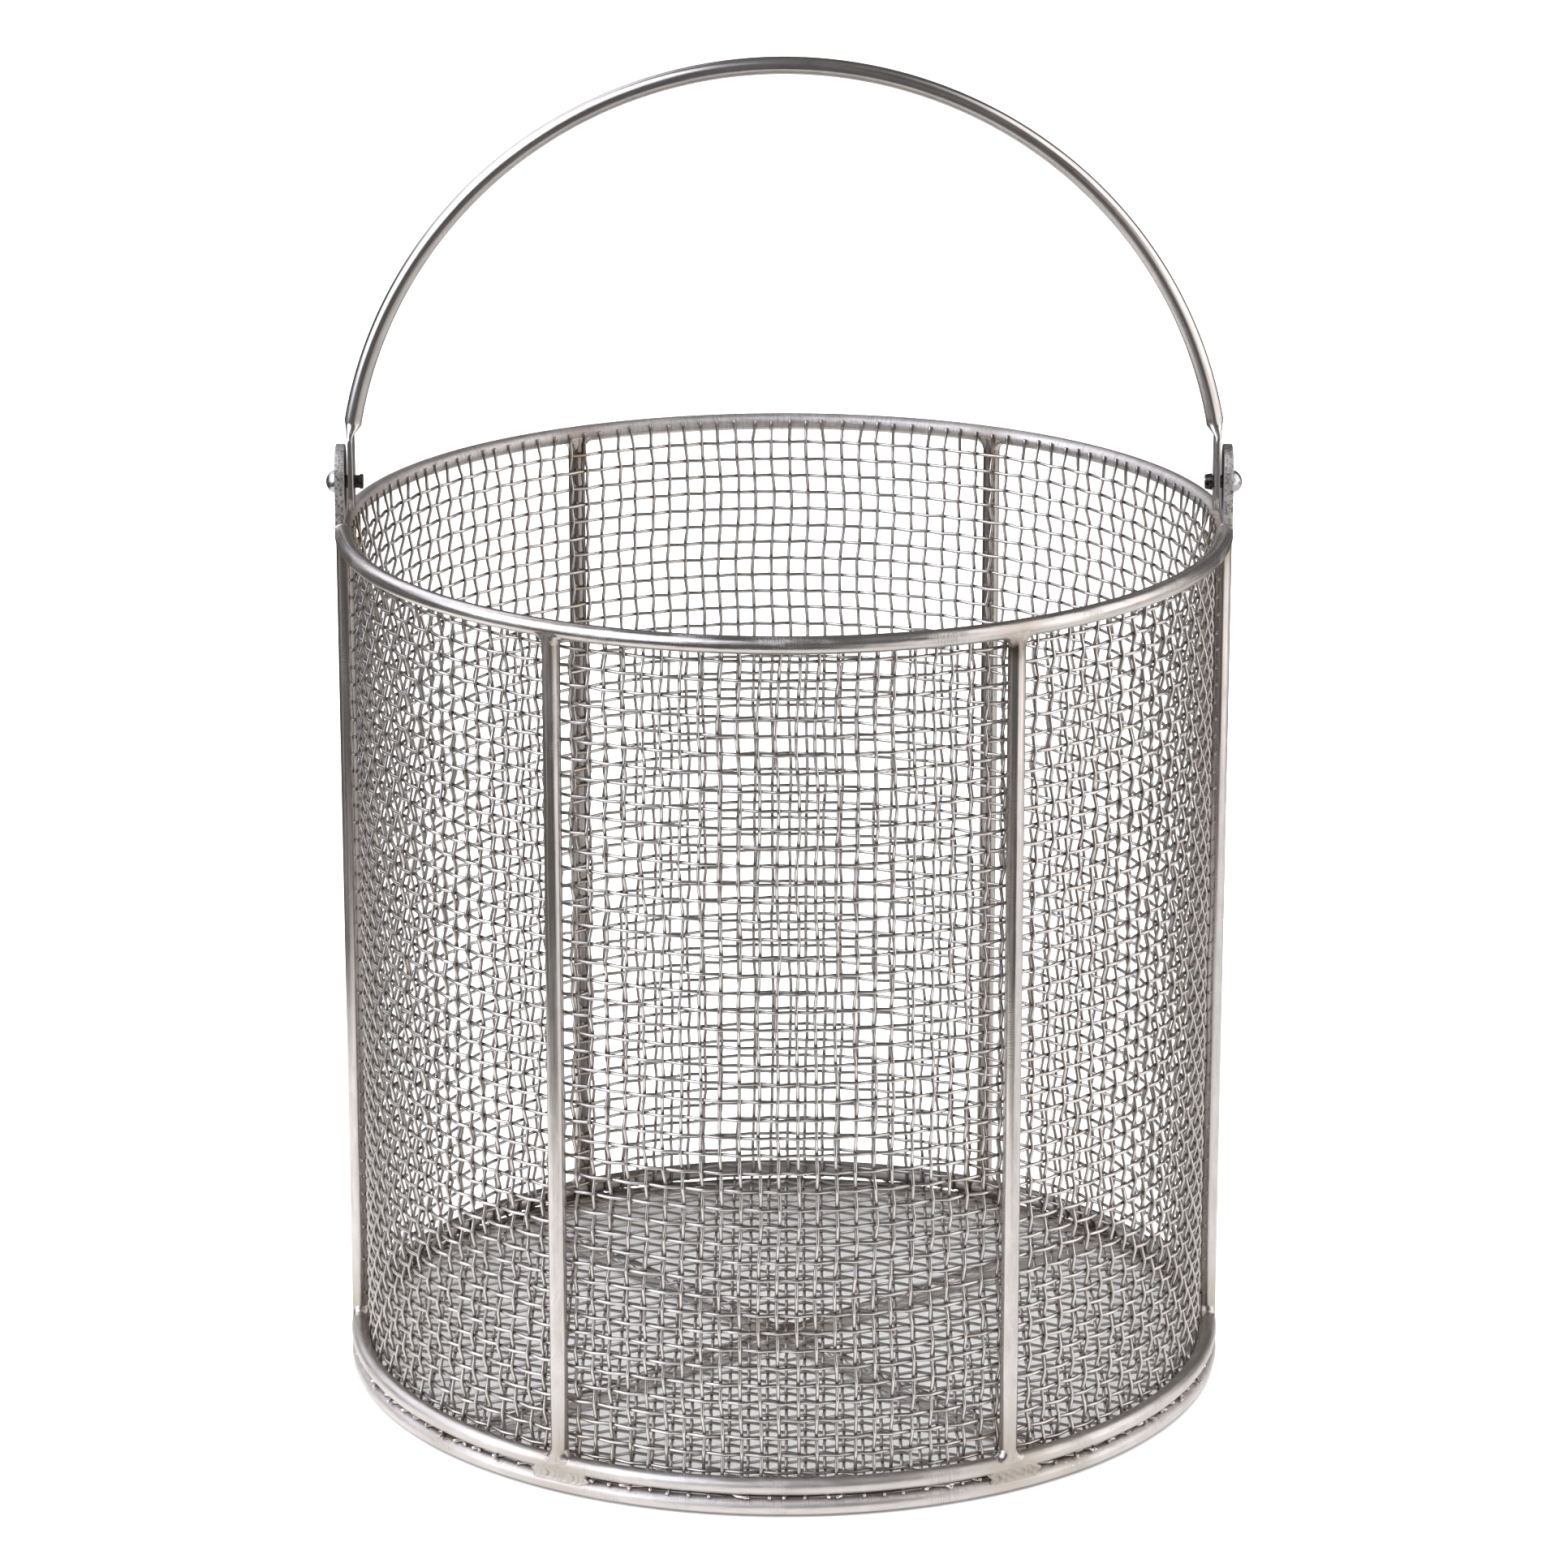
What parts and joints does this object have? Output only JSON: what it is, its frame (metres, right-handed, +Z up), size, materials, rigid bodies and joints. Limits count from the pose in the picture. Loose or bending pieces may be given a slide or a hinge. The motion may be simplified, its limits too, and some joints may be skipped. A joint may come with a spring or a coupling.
{
  "type": "wire mesh basket strainer",
  "caption": "Round straining and dipping basket of woven steel wire mesh on a welded rod frame, open at the top, with a bail handle that swings on riveted ears",
  "frame": {"origin": "on the surface the basket stands on, below the middle of its round base", "axes": "+Z up through the open rim and the bail's crown, +X from the middle towards one ear and along the bail's pivot axis, +Y square to the bail"},
  "size_m": [0.314, 0.308, 0.465],
  "materials": {
    "frame_rod": "ground and brushed round rod, fine lines around and along it, straw and blue heat tint near welds",
    "mesh_wire": "bright drawn wire, smooth, lightly soiled where it crosses",
    "weld_metal": "rippled weld bead, brushed, with heat tint",
    "ear_plate": "flat plate with grainy sheared edges",
    "rivet_steel": "polished dome, nearly black shank and tail",
    "bail_rod": "brushed round rod, smooth pressed flats at its ends"
  },
  "bodies": {
    "basket": {"rim_ring": "frame_rod", "upper_base_ring": "frame_rod", "lower_base_ring": "frame_rod", "upright_rod_1": "frame_rod", "upright_rod_2": "frame_rod", "upright_rod_3": "frame_rod", "upright_rod_4": "frame_rod", "upright_rod_5": "frame_rod", "upright_rod_6": "frame_rod", "upright_top_welds": "weld_metal", "upright_foot_welds": "weld_metal", "base_ring_welds": "weld_metal", "cross_bar_long": "frame_rod", "cross_bar_half_left": "frame_rod", "cross_bar_half_right": "frame_rod", "cross_weld": "weld_metal", "bar_end_welds": "weld_metal", "side_warp_wires": "mesh_wire", "side_weft_wires_low": "mesh_wire", "side_weft_wires_mid": "mesh_wire", "side_weft_wires_high": "mesh_wire", "floor_wires_across": "mesh_wire", "floor_wires_deep": "mesh_wire", "ear_left": "ear_plate", "ear_right": "ear_plate", "ear_welds": "weld_metal", "rivet_left": "rivet_steel", "rivet_right": "rivet_steel"},
    "bail": {"bail_handle": "bail_rod"}
  },
  "joints": [
    {"name": "bail_swing", "type": "hinge", "parent": "basket", "child": "bail", "pos_m": [0, 0, 0.3179], "axis": [1, 0, 0], "range_deg": [-95, 95]}
  ]
}
